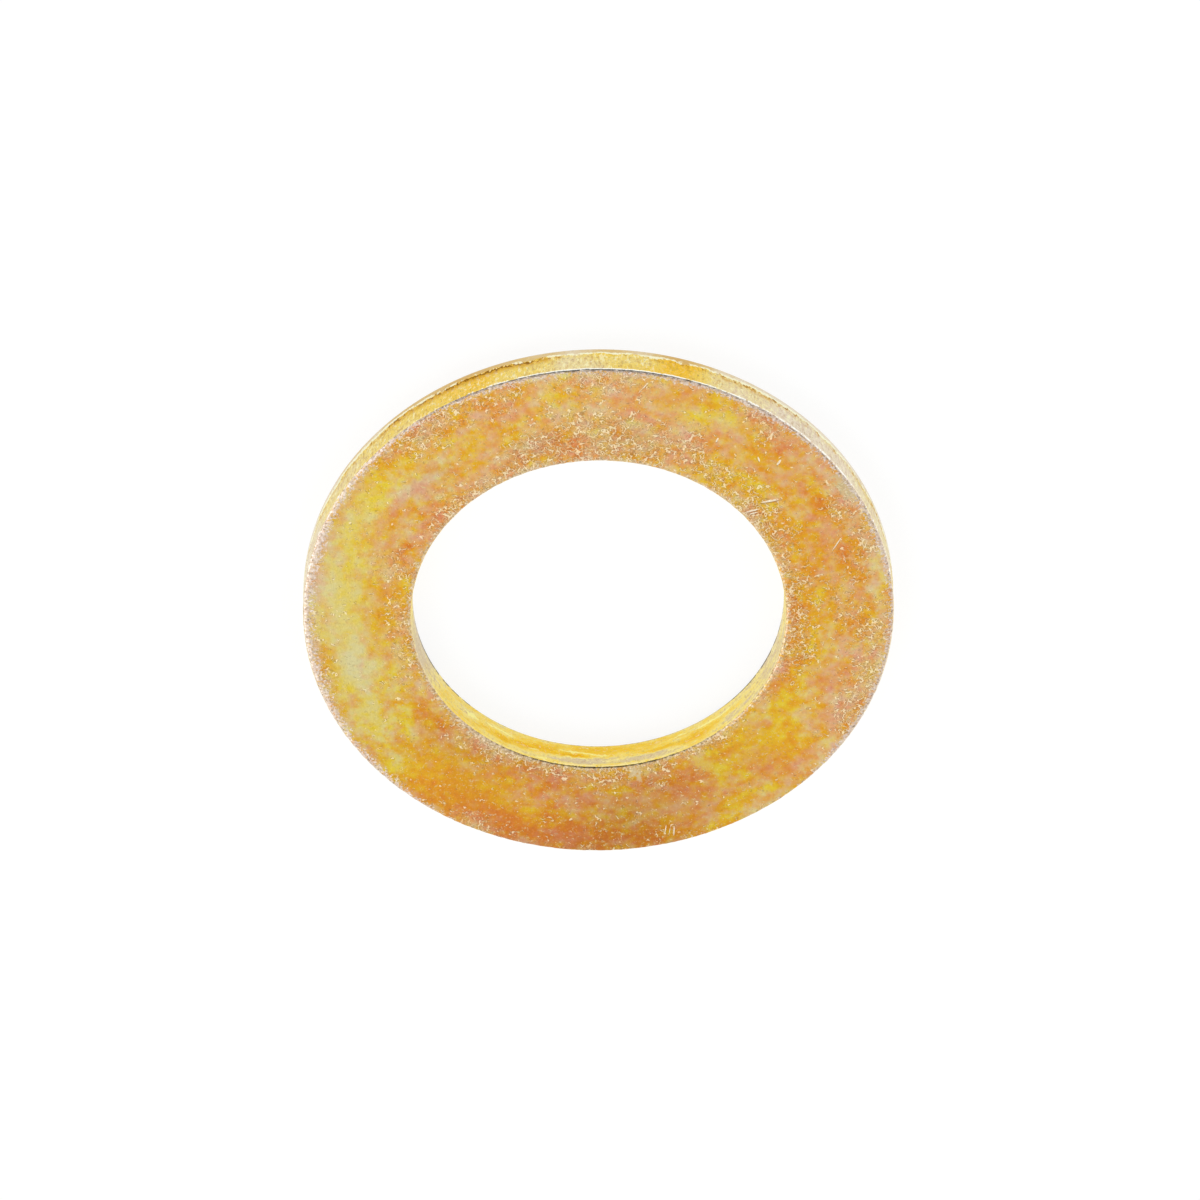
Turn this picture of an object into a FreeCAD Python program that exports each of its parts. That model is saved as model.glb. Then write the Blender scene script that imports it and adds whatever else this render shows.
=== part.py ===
import FreeCAD, Part

import math
import os

import Sketcher

# Flat washer, blanked and pierced from steel strip, then zinc plated with a yellow chromate.
#
# It is one piece: a flat ring whose two walls show how the press cut it. Going up from the
# seat face, each wall has
#   a roll-over, rounded where the strip bent before it gave way,
#   a land, straight and smooth where the steel slid along the tool,
#   a tear, rougher and leaning a little away from the tool, where the rest broke,
#   a broken edge, the corner where the burr stood, blunted by tumbling.
# Rim and bore have these in the same order, because one stroke of a compound die cut both.
#
# Frame: the origin is on the axis, in the seat face. +Z is the axis, towards the burr face.
# Sizes are in millimetres.

NODE = "flat_washer"

# Alias, size and meaning. The lands are where each wall is measured across.
SIZES = [
    ("outer_diameter", 25.4, "across the rim's land"),
    ("bore_diameter", 16.0, "across the bore's land"),
    ("thickness", 1.6, "from the seat face to the burr face"),
    ("roll_over_radius", 0.17, "rounded corner at the seat face"),
    ("broken_edge_radius", 0.09, "blunted corner at the burr face"),
    ("rim_land_height", 0.27, "straight part of the rim's wall"),
    ("bore_land_height", 0.60, "straight part of the bore's wall"),
    ("rim_lean", 0.02, "how far the rim's tear leans in, towards the axis"),
    ("bore_lean", 0.035, "how far the bore's tear leans out, away from the axis"),
]

# How a sketch constraint names the ends of an edge, the horizontal axis and the origin.
START = 1
END = 2
HORIZONTAL_AXIS = -1
ORIGIN = (-1, 1)


def size_sheet(document):
    """A row for each size: its meaning, its value and its alias."""
    sheet = document.addObject("Spreadsheet::Sheet", "Sizes")
    for row, (alias, value, meaning) in enumerate(SIZES, start=1):
        sheet.set(f"A{row}", meaning)
        sheet.set(f"B{row}", str(value))
        sheet.setAlias(f"B{row}", alias)
    document.recompute()
    return sheet


def section_outline(sheet):
    """The wall's section as named edges, counterclockwise: x is the radius, y the height."""
    rim = sheet.outer_diameter / 2
    bore = sheet.bore_diameter / 2
    top = sheet.thickness
    roll = sheet.roll_over_radius
    edge = sheet.broken_edge_radius
    torn_rim = rim - sheet.rim_lean
    torn_bore = bore + sheet.bore_lean
    rim_crease = roll + sheet.rim_land_height
    bore_crease = roll + sheet.bore_land_height

    def line(x1, y1, x2, y2):
        return Part.LineSegment(FreeCAD.Vector(x1, y1, 0), FreeCAD.Vector(x2, y2, 0))

    def corner(x, y, radius, quarter):
        circle = Part.Circle(FreeCAD.Vector(x, y, 0), FreeCAD.Vector(0, 0, 1), radius)
        return Part.ArcOfCircle(circle, quarter * math.pi / 2, (quarter + 1) * math.pi / 2)

    return {
        "seat_face": line(bore + roll, 0, rim - roll, 0),
        "rim_roll_over": corner(rim - roll, roll, roll, 3),
        "rim_land": line(rim, roll, rim, rim_crease),
        "rim_tear": line(rim, rim_crease, torn_rim, top - edge),
        "rim_edge": corner(torn_rim - edge, top - edge, edge, 0),
        "burr_face": line(torn_rim - edge, top, torn_bore + edge, top),
        "bore_edge": corner(torn_bore + edge, top - edge, edge, 1),
        "bore_tear": line(torn_bore, top - edge, bore, bore_crease),
        "bore_land": line(bore, bore_crease, bore, roll),
        "bore_roll_over": corner(bore + roll, roll, roll, 2),
    }


def join_edges(sketch, index):
    """Close the outline: smoothly, but for the crease where the steel began to tear."""
    creases = {("rim_land", "rim_tear"), ("bore_tear", "bore_land")}
    names = list(index)
    for name, following in zip(names, names[1:] + names[:1]):
        kind = "Coincident" if (name, following) in creases else "Tangent"
        sketch.addConstraint(Sketcher.Constraint(kind, index[name], END, index[following], START))


def bind(sketch, name, expression, kind, *where):
    """Add a dimension that follows an expression in the sheet's aliases."""
    value = sketch.evalExpression(expression)
    number = sketch.addConstraint(Sketcher.Constraint(kind, *where, value))
    sketch.renameConstraint(number, name)
    sketch.setExpression(f"Constraints.{name}", expression)


def draw_section(body, sheet):
    """The section in the body's own XZ plane, its shape held by constraints and by the sheet."""
    plane = next(item for item in body.Origin.OriginFeatures if item.Role == "XZ_Plane")
    sketch = body.newObject("Sketcher::SketchObject", "WallSection")
    sketch.AttachmentSupport = [(plane, "")]
    sketch.MapMode = "FlatFace"

    index = {}
    for name, edge in section_outline(sheet).items():
        index[name] = sketch.addGeometry(edge, False)
    join_edges(sketch, index)

    seat, burr = index["seat_face"], index["burr_face"]
    rim, bore = index["rim_land"], index["bore_land"]
    sketch.addConstraint(Sketcher.Constraint("PointOnObject", seat, START, HORIZONTAL_AXIS))
    sketch.addConstraint(Sketcher.Constraint("Horizontal", seat))
    sketch.addConstraint(Sketcher.Constraint("Horizontal", burr))
    sketch.addConstraint(Sketcher.Constraint("Vertical", rim))
    sketch.addConstraint(Sketcher.Constraint("Vertical", bore))

    bind(sketch, "rim_radius", "Sizes.outer_diameter / 2", "DistanceX", *ORIGIN, rim, START)
    bind(sketch, "bore_radius", "Sizes.bore_diameter / 2", "DistanceX", *ORIGIN, bore, END)
    bind(sketch, "thickness", "Sizes.thickness", "DistanceY", *ORIGIN, burr, START)
    bind(sketch, "rim_land", "Sizes.rim_land_height", "DistanceY", rim, START, rim, END)
    bind(sketch, "bore_land", "Sizes.bore_land_height", "DistanceY", bore, END, bore, START)
    for wall, lean in (("rim", "rim_lean"), ("bore", "bore_lean")):
        roll_over, edge, tear = (index[f"{wall}_{part}"] for part in ("roll_over", "edge", "tear"))
        bind(sketch, f"{wall}_roll_over", "Sizes.roll_over_radius", "Radius", roll_over)
        bind(sketch, f"{wall}_edge", "Sizes.broken_edge_radius", "Radius", edge)
        # The tear leans inwards from its start on the rim, and from its end on the bore.
        bind(sketch, lean, f"Sizes.{lean}", "DistanceX", tear, END, tear, START)
    return sketch


def revolve(body, sketch):
    """The whole ring: the section turned once round the axis."""
    ring = body.newObject("PartDesign::Revolution", "Ring")
    ring.Profile = sketch
    ring.ReferenceAxis = (sketch, ["V_Axis"])
    ring.Angle = 360
    sketch.Visibility = False
    return ring


def check(document, body, sketch):
    """Stop before anything is written if a feature failed or the section can still move."""
    for item in document.Objects:
        if "Invalid" in item.State or "Error" in item.State:
            raise RuntimeError(f"{item.Label} failed: {item.State}")
    if not sketch.FullyConstrained:
        raise RuntimeError("the wall's section isn't fully constrained")
    if body.Shape.isNull() or not body.Shape.isValid():
        raise RuntimeError(f"{body.Label} has no valid shape")


def main():
    document = FreeCAD.newDocument("FlatWasher")
    sheet = size_sheet(document)
    body = document.addObject("PartDesign::Body", "Washer")
    body.Label = NODE
    sketch = draw_section(body, sheet)
    revolve(body, sketch)
    document.recompute()
    check(document, body, sketch)

    os.makedirs("parts", exist_ok=True)
    body.Shape.exportStep(f"parts/{body.Label}.step")
    box = body.Shape.optimalBoundingBox()
    print(f"{body.Label}: {box.XLength:.3f} x {box.YLength:.3f} x {box.ZLength:.3f} mm")
    print(f"volume {body.Shape.Volume:.3f} mm3, from z = {box.ZMin:.4f} to {box.ZMax:.4f} mm")


main()
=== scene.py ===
# %% [markdown]
# # A flat washer with a yellow zinc finish
#
# The real washer is one ring of steel strip. A press punches the bore and the rim in one
# stroke, the corners are blunted in a tumbling barrel, and a bath of chromate leaves a thin
# yellow film on the zinc plating. This lesson builds that ring around the packed CAD part, and
# spends most of its steps on the film, because the film is what the eye sees.
#
# The packed part comes first. It fixes the place and the size of everything that follows.

# %% The packed frame
import math

import bpy
from mathutils import Matrix, Vector


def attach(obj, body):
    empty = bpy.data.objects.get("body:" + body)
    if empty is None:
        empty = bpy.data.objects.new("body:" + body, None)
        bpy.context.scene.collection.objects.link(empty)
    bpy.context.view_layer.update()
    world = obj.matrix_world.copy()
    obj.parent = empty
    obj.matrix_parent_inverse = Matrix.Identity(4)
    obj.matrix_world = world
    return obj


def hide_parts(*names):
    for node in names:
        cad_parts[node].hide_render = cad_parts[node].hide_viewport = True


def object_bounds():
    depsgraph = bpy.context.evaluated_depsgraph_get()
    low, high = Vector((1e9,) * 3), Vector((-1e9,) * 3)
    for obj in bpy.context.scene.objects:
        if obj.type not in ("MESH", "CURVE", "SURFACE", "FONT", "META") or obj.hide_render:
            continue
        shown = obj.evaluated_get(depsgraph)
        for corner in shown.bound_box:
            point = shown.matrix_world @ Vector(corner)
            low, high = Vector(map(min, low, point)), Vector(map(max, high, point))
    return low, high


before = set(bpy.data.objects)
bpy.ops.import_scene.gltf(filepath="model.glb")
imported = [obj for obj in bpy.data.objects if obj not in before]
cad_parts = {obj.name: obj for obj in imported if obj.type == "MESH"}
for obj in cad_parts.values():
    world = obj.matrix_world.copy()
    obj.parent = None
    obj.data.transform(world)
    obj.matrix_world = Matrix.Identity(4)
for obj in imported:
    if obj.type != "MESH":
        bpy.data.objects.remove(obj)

cad_low, cad_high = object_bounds()
MM = 0.001
print("CAD box, mm:", [round(side / MM, 3) for side in cad_high - cad_low])

# %% [markdown]
# ## Sizes
#
# A maker's drawing of a washer gives three sizes: across the rim, across the bore, and the
# thickness. The rim and the thickness are read from the packed part's own box, and the bore is
# repeated from its drawing. All of the sizes below are in millimetres, and MM turns them into
# the metres that Blender works in. MIDDLE is the radius half way across the face: what lies
# beyond it belongs to the rim, and what lies inside it to the bore.

# %% The washer's sizes
RIM = (cad_high.x - cad_low.x) / 2 / MM
THICK = cad_high.z / MM
BORE = 8.0
ROLL_OVER = 0.17
BROKEN_EDGE = 0.09
MIDDLE = (RIM + BORE) / 2
print(f"rim {RIM:.2f}, bore {BORE:.2f}, thickness {THICK:.2f} mm")

# %% [markdown]
# ## The camera
#
# The photograph was taken with a long lens from above one edge, so the near wall of the rim
# shows at the top of the picture and the far wall of the bore at its bottom. A long lens keeps
# both ends of the ring almost the same size. The camera is placed first, because the size of
# the smallest detail that is worth making depends on how large it looks from here.
#
# The camera is turned in two steps, a tilt about X and a small roll about its own axis. Then it
# is moved back from the middle of the upper face, until that middle sits where the photograph
# has it.

# %% The camera
LENS = 175.6
SENSOR = 36.0
ELEVATION = 54.80
ROLL = -0.901
FACE_MIDDLE_IN_VIEW = Vector((-0.061, -0.736, -251.1))

bpy.ops.object.camera_add()
camera = bpy.context.object
camera.name = "Camera"
tilt = Matrix.Rotation(math.radians(ELEVATION - 90), 3, "X")
tilt = tilt @ Matrix.Rotation(math.radians(ROLL), 3, "Z")
face_middle = Vector((0, 0, THICK))
camera.location = (face_middle - tilt @ FACE_MIDDLE_IN_VIEW) * MM
camera.rotation_euler = tilt.to_euler()
camera.data.lens = LENS
camera.data.sensor_width = SENSOR
camera.data.clip_start = 0.01
camera.data.clip_end = 10.0
bpy.context.scene.camera = camera
bpy.context.scene.view_settings.view_transform = "Standard"
print("camera at, mm:", [round(side / MM, 1) for side in camera.location])

# %% [markdown]
# ## Shader sums in plain Python
#
# A finish is a recipe of masks and mixes. Written out node by node it is long and hard to read,
# so one small class wraps a node's output. Python's own signs then add the Math nodes, and
# every other kind of node comes from a single method.

# %% A wire, which is one output of a node
class Wire:
    """One output in a node tree. Sums on it add Math nodes, and node() adds any other node."""

    def __init__(self, tree, socket=None):
        self.tree = tree
        self.socket = socket

    def node(self, kind, settings=None, inputs=None, output=0):
        """A new node: its settings are made first, then its inputs are set or linked."""
        made = self.tree.nodes.new("ShaderNode" + kind)
        for name, value in (settings or {}).items():
            if name == "stops":
                self.fill_ramp(made.color_ramp, value)
            else:
                setattr(made, name, value)
        for name, value in (inputs or {}).items():
            if isinstance(value, Wire):
                self.tree.links.new(value.socket, made.inputs[name])
            else:
                made.inputs[name].default_value = value
        return Wire(self.tree, made.outputs[output] if made.outputs else None)

    def other(self, name):
        """Another output of the same node."""
        return Wire(self.tree, self.socket.node.outputs[name])

    @staticmethod
    def fill_ramp(ramp, stops):
        while len(ramp.elements) < len(stops):
            ramp.elements.new(1.0)
        for element, (position, colour) in zip(ramp.elements, stops):
            element.position = position
            element.color = colour

    def math(self, operation, *values, clamp=False):
        settings = {"operation": operation, "use_clamp": clamp}
        return self.node("Math", settings, dict(enumerate(values)))

    def __add__(self, other):
        return self.math("ADD", self, other)

    def __sub__(self, other):
        return self.math("SUBTRACT", self, other)

    def __rsub__(self, other):
        return self.math("SUBTRACT", other, self)

    def __mul__(self, other):
        return self.math("MULTIPLY", self, other)

    def __truediv__(self, other):
        return self.math("DIVIDE", self, other)

    __radd__ = __add__
    __rmul__ = __mul__

    def size(self):
        return self.math("ABSOLUTE", self)

    def held(self):
        """The value kept between 0 and 1."""
        return self.math("ADD", self, 0.0, clamp=True)

    def most(self, other):
        return self.math("MAXIMUM", self, other)

    def ramp(self, start, end):
        """0 before start and 1 after end, with a soft step between. It falls if end < start."""
        low, high = min(start, end), max(start, end)
        ends = (0.0, 1.0) if start < end else (1.0, 0.0)
        inputs = {"Value": self, "From Min": low, "From Max": high}
        inputs.update({"To Min": ends[0], "To Max": ends[1]})
        return self.node("MapRange", {"interpolation_type": "SMOOTHSTEP"}, inputs)

    def mix(self, start, end, blend="MIX"):
        """Colour start where this mask is 0, and colour end where it is 1."""
        settings = {"data_type": "RGBA", "blend_type": blend}
        return self.node("Mix", settings, {0: self, 6: start, 7: end}, output=2)


print("one wire class:", ", ".join(sorted(name for name in vars(Wire) if name.isalpha())))

# %% [markdown]
# Nodes work in linear light, and colours are easier to think of as a picture editor shows them,
# so one small function turns the second into the first.

# %% Colours
def srgb(red, green, blue):
    """A colour as a picture editor shows it, from 0 to 255, made the light value nodes use."""

    def light(part):
        part /= 255
        return part / 12.92 if part <= 0.04045 else ((part + 0.055) / 1.055) ** 2.4

    return (light(red), light(green), light(blue), 1.0)


WHITE = (1, 1, 1, 1)
BLACK = (0, 0, 0, 1)
print("a middle grey of 128 is", round(srgb(128, 128, 128)[0], 3), "of the light")

# %% [markdown]
# ## The floor
#
# Small parts like this are photographed on a white sheet that shows as pure white. The sheet
# here is a plain pale floor. Part of its white is its own colour under the lamps, so the washer
# still leaves a soft shadow. The rest is added only for the camera and for reflections, so that
# the sheet shows white without more light falling on the washer.

# %% The floor
FLOOR_SIDE = 4.0
SHEET_COLOUR = srgb(122, 122, 122)
SHEET_GLOW = 0.86

bpy.ops.object.select_all(action="DESELECT")
bpy.ops.mesh.primitive_plane_add(size=FLOOR_SIDE)
floor = bpy.context.object
floor.name = "floor"

sheet = bpy.data.materials.new("white_sheet")
sheet.use_nodes = True
sheet.node_tree.nodes.clear()
paper = Wire(sheet.node_tree)
rays = paper.node("LightPath")
seen = rays.other("Is Camera Ray").most(rays.other("Is Glossy Ray"))
seen = seen.most(rays.other("Is Transmission Ray"))
lit = paper.node("BsdfDiffuse", None, {"Color": SHEET_COLOUR})
glow = paper.node("Emission", None, {"Color": WHITE, "Strength": seen * SHEET_GLOW})
both = paper.node("AddShader", None, {0: lit, 1: glow})
paper.node("OutputMaterial", None, {"Surface": both})
floor.data.materials.append(sheet)
print("floor:", FLOOR_SIDE, "m square")

# %% [markdown]
# ## The light
#
# A washer is a small curved mirror all round its edges, so product photographs are lit by a
# tent of white cloth: soft light from everywhere, with one dark place where the lens looks in.
# The world below is that tent. It is a little brighter towards the horizon, and darker round
# the lens. One large lamp adds the direction that keeps the face from looking flat.

# %% The light tent
HORIZON = (1.40, 1.40, 1.40, 1)
ZENITH = (0.95, 0.95, 0.95, 1)
LENS_HOLE = (0.05, 0.05, 0.05, 1)
HOLE_EDGE = math.radians(24)
CLOTH_STARTS = math.radians(40)

world = bpy.context.scene.world or bpy.data.worlds.new("World")
bpy.context.scene.world = world
world.name = "light_tent"
world.use_nodes = True
world.node_tree.nodes.clear()
tent = Wire(world.node_tree)

direction = tent.node("TexCoord")
to_lens = {0: direction, 1: tuple(camera.location.normalized())}
toward_lens = tent.node("VectorMath", {"operation": "DOT_PRODUCT"}, to_lens, output=1)
hole = toward_lens.ramp(math.cos(CLOTH_STARTS), math.cos(HOLE_EDGE))
upward = tent.node("SeparateXYZ", None, {0: direction}, output=2)
cloth = upward.ramp(0.0, 0.55).mix(HORIZON, ZENITH)
cloth = hole.mix(cloth, LENS_HOLE)
shown = tent.node("LightPath").other("Is Camera Ray").mix(cloth, WHITE)
back = tent.node("Background", None, {"Color": shown, "Strength": 1.0})
tent.node("OutputWorld", None, {"Surface": back})


def softbox(name, place, side, power):
    """A square lamp at a place in metres that faces the washer."""
    bpy.ops.object.light_add(type="AREA", location=place)
    lamp = bpy.context.object
    lamp.name = name
    lamp.data.size = side
    lamp.data.energy = power
    lamp.rotation_euler = (-Vector(place)).to_track_quat("-Z", "Y").to_euler()
    return lamp


key = softbox("softbox", (-0.35, -0.30, 0.55), side=0.40, power=0.7)
print("softbox power, W:", round(key.data.energy, 2))

# %% [markdown]
# ## The wall's section
#
# Cut the washer through and the cut is a small rectangle whose corners tell its story. The two
# lower corners are rolled over, where the strip bent before the punch went through. The two
# upper ones are broken edges, sharper, where the burr was tumbled away. About a third of the
# way up, the smooth land ends in a crease, and the torn steel above it leans back.
#
# A plane standing on its edge can become that rectangle. A wrong corner is easiest to see while
# there are only four of them, so the corners are shaped before anything is turned. Points are
# found by where they are, because their numbers change with every cut.

# %% Helpers to pick and shape in edit mode
def pick(piece, wanted, kind="VERT"):
    """Enter edit mode with only the points that wanted(x, y, z) accepts selected, in mm."""
    if bpy.context.object is not piece or piece.mode != "EDIT":
        bpy.ops.object.mode_set(mode="OBJECT")
        bpy.ops.object.select_all(action="DESELECT")
        bpy.context.view_layer.objects.active = piece
        piece.select_set(True)
        bpy.ops.object.mode_set(mode="EDIT")
    bpy.ops.mesh.select_mode(type="VERT")
    bpy.ops.mesh.select_all(action="DESELECT")
    bpy.ops.object.mode_set(mode="OBJECT")
    count = 0
    for point in piece.data.vertices:
        point.select = bool(wanted(*(part / MM for part in point.co)))
        count += point.select
    bpy.ops.object.mode_set(mode="EDIT")
    if kind == "EDGE":
        bpy.ops.mesh.select_mode(type="EDGE")
    return count


def near(value, target, gap=0.001):
    return abs(value - target) < gap


print("points are picked by place, in mm")

# %% [markdown]
# The walls are split at the crease, the upper corners are moved by the lean, and each pair of
# corners is rounded by a vertex bevel. The plane's face is deleted last, and its outline stays.

# %% The section with its corners
RIM_LAND = 0.27
BORE_LAND = 0.60
RIM_LEAN = 0.02
BORE_LEAN = 0.035
CORNER_STEPS = 6
rim_crease = ROLL_OVER + RIM_LAND
bore_crease = ROLL_OVER + BORE_LAND

bpy.ops.object.select_all(action="DESELECT")
bpy.ops.mesh.primitive_plane_add(
    size=MM,
    location=((RIM + BORE) / 2 * MM, 0, THICK / 2 * MM),
    rotation=(math.pi / 2, 0, 0),
)
washer = bpy.context.object
washer.name = "washer_ring"
washer.data.name = "washer_ring"
washer.scale = (RIM - BORE, THICK, 1)
bpy.ops.object.transform_apply(location=True, rotation=True, scale=True)

for edge, crease in ((RIM, rim_crease), (BORE, bore_crease)):
    pick(washer, lambda x, y, z: near(x, edge))
    bpy.ops.mesh.subdivide(number_cuts=1)
    pick(washer, lambda x, y, z: near(x, edge) and near(z, THICK / 2))
    bpy.ops.transform.translate(value=(0, 0, (crease - THICK / 2) * MM))
for edge, lean in ((RIM, -RIM_LEAN), (BORE, BORE_LEAN)):
    pick(washer, lambda x, y, z: near(x, edge) and near(z, THICK))
    bpy.ops.transform.translate(value=(lean * MM, 0, 0))
pick(washer, lambda x, y, z: near(z, 0))
bpy.ops.mesh.bevel(offset=ROLL_OVER * MM, segments=CORNER_STEPS, affect="VERTICES")
pick(washer, lambda x, y, z: near(z, THICK))
bpy.ops.mesh.bevel(offset=BROKEN_EDGE * MM, segments=CORNER_STEPS, affect="VERTICES")
bpy.ops.mesh.select_all(action="SELECT")
bpy.ops.mesh.delete(type="ONLY_FACE")
bpy.ops.object.mode_set(mode="OBJECT")
print("section points:", len(washer.data.vertices))

# %% [markdown]
# ## Points for the detail
#
# The straight runs of the section are single edges so far. They are divided before the section
# is turned, finely where the photograph shows detail, on the burr face and the torn walls, and
# coarsely on the seat face.

# %% Divide the runs
def divide(run, cuts):
    """Cut up the edge whose two end points lie in this run, a test on x and z in mm."""
    found = pick(washer, lambda x, y, z: run(x, z), "EDGE")
    bpy.ops.mesh.subdivide(number_cuts=cuts)
    return found


SLACK = 0.001
wall_start = ROLL_OVER - SLACK
wall_end = THICK - BROKEN_EDGE + 0.007
runs = {
    "burr face": (lambda x, z: near(z, THICK), 34),
    "seat face": (lambda x, z: near(z, 0), 8),
    "rim land": (lambda x, z: x > MIDDLE and wall_start < z < rim_crease + SLACK, 4),
    "rim tear": (lambda x, z: x > MIDDLE and rim_crease - SLACK < z < wall_end, 14),
    "bore land": (lambda x, z: x < MIDDLE and wall_start < z < bore_crease + SLACK, 7),
    "bore tear": (lambda x, z: x < MIDDLE and bore_crease - SLACK < z < wall_end, 9),
}
for name, (run, cuts) in runs.items():
    print(f"{name}: {divide(run, cuts)} end points, {cuts} cuts")
bpy.ops.object.mode_set(mode="OBJECT")

# %% [markdown]
# ## The ring
#
# The section is turned once round the axis, as on a lathe. The Screw modifier does this with no
# rise, and joins the last step to the first. The number of steps keeps the whole ring just
# under 200,000 triangles.

# %% Turn the section
STEPS = 940


def finish_modifier(piece, modifier):
    bpy.ops.object.select_all(action="DESELECT")
    bpy.context.view_layer.objects.active = piece
    piece.select_set(True)
    bpy.ops.object.modifier_apply(modifier=modifier.name)


lathe = washer.modifiers.new("Lathe", "SCREW")
lathe.axis = "Z"
lathe.angle = 2 * math.pi
lathe.screw_offset = 0
lathe.steps = STEPS
lathe.render_steps = STEPS
lathe.use_merge_vertices = True
lathe.merge_threshold = 1e-6
finish_modifier(washer, lathe)

pick(washer, lambda x, y, z: True)
bpy.ops.mesh.normals_make_consistent(inside=False)
bpy.ops.object.mode_set(mode="OBJECT")
print("ring:", len(washer.data.vertices), "points,", len(washer.data.polygons), "faces")

# %% [markdown]
# ## Marks for the finish
#
# The finish needs to know where the crease and the corners are, also after the walls have been
# roughened. Two numbers are written on every point while the section is still exact: how far it
# is above the crease, and which way it faces, from -1 straight down through 0 on a wall to 1
# straight up.

# %% Write the marks
def above_crease(radius, z):
    return z - (rim_crease if radius > MIDDLE else bore_crease)


def facing(point):
    return math.asin(max(-1.0, min(1.0, point.normal.z))) / (math.pi / 2)


def mark(name, value):
    """Write a number on every point of the ring."""
    made = washer.data.attributes.new(name, "FLOAT", "POINT")
    numbers = [value(point) for point in washer.data.vertices]
    made.data.foreach_set("value", numbers)
    print(f"{name}: from {min(numbers):.2f} to {max(numbers):.2f}")


def radius_and_height(point):
    x, y, z = (part / MM for part in point.co)
    return math.hypot(x, y), z


mark("above_crease", lambda point: above_crease(*radius_and_height(point)))
mark("turn", facing)

# %% [markdown]
# ## The torn walls
#
# A punched wall is never as even as a turned one. The crease wanders up and down, the torn
# steel above it is rough, and the tumbling barrel has nicked the edges. Each of these is a
# Displace modifier with its own texture and its own group of points. The first only slides
# points up and down the wall. The others push inwards, because their middle value is close to
# the most that the noise reaches, so the washer keeps the size of the CAD part to a few
# thousandths of a millimetre.

# %% Groups and dents
def group(name, weight):
    """A vertex group whose weight is worked out from the radius and the height in mm."""
    made = washer.vertex_groups.new(name=name)
    count = 0
    for point in washer.data.vertices:
        share = weight(*radius_and_height(point))
        if share > 0:
            made.add([point.index], min(share, 1.0), "REPLACE")
            count += 1
    return count


def fade(value, start, end):
    """From 0 at start to 1 at end."""
    return max(0.0, min(1.0, (value - start) / (end - start)))


def dent(name, size, depth, direction="NORMAL", middle=1.0, **extra):
    """Push the points of a group by cloudy noise, with its size and the depth in mm."""
    texture = bpy.data.textures.new(name, "CLOUDS")
    texture.noise_scale = size * MM
    for setting, value in extra.items():
        setattr(texture, setting, value)
    push = washer.modifiers.new(name, "DISPLACE")
    push.texture = texture
    push.texture_coords = "LOCAL"
    push.vertex_group = name
    push.direction = direction
    push.mid_level = middle
    push.strength = depth * MM
    finish_modifier(washer, push)


print("noise sizes and depths are in mm")

# %% [markdown]
# A group's weight comes from the radius and the height alone, so each kind of roughness needs
# only one small function that says where it lies.

# %% Roughen the walls
EDGE_START = THICK - BROKEN_EDGE


def wall(radius, z):
    """1 on the rim's wall and the bore's, 0 on the faces."""
    gap = min(RIM - radius, radius - BORE)
    return 1.0 if gap < 0.05 and z < EDGE_START + 0.01 else 0.0


def crease_share(radius, z):
    rise = above_crease(radius, z)
    end = EDGE_START if rise > 0 else ROLL_OVER
    return wall(radius, z) * fade(z, end, z - rise)


def tear_share(radius, z):
    rise = above_crease(radius, z)
    return wall(radius, z) * fade(rise, 0, 0.06) * fade(z, EDGE_START, EDGE_START - 0.12)


def nick_share(radius, z):
    """1 on the broken edges, 0 half a tenth further on."""
    gap = max(0.0, min(RIM - radius, radius - BORE))
    return fade(gap, BROKEN_EDGE + 0.06, BROKEN_EDGE) * fade(z, EDGE_START - 0.06, EDGE_START)


def dent_share(radius, z):
    """1 on the burr face, and less near its edges."""
    gap = min(RIM - radius, radius - BORE)
    return fade(z, THICK - 0.002, THICK - 0.001) * fade(gap, BROKEN_EDGE, 0.6)


HARSH = {"intensity": 1.5, "contrast": 2.5, "middle": 1.7}
dents = [
    ("crease", crease_share, 1.1, 0.34, {"direction": "Z", "middle": 0.5, "noise_depth": 3}),
    ("tear", tear_share, 0.24, 0.045, {"noise_depth": 2}),
    ("nicks", nick_share, 0.22, 0.012, {"noise_depth": 1, **HARSH}),
    ("dents", dent_share, 1.6, 0.014, {"noise_depth": 2}),
]
for name, share, size, depth, extra in dents:
    print(f"{name}: {group(name, share)} points, {depth} mm")
    dent(name, size, depth, **extra)
washer.data.update()
bpy.ops.object.select_all(action="DESELECT")
washer.select_set(True)
bpy.context.view_layer.objects.active = washer
bpy.ops.object.shade_smooth_by_angle(angle=math.radians(40))

# %% [markdown]
# ## The film
#
# Chromate on zinc is thinner than the light's own wavelength, and its colour follows its
# thickness: lemon where it is thin, then gold, orange and a reddish tan. How strong the colour
# is depends on how much of the film has been rubbed off since. So the whole face is two numbers,
# the film's thickness and its paleness, and two ramps of colours that are mixed.
#
# Everything is measured in millimetres from the axis, so a patch can be put where it is seen.
# The lower face swaps X and Y, so that it isn't a mirror image of the upper one. A third set of
# coordinates runs round the ring on a smaller circle, which draws clouds out along the ring.

# %% The finish's coordinates
finish = bpy.data.materials.new("yellow_zinc")
finish.use_nodes = True
finish.node_tree.nodes.clear()
start = Wire(finish.node_tree)

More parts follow.
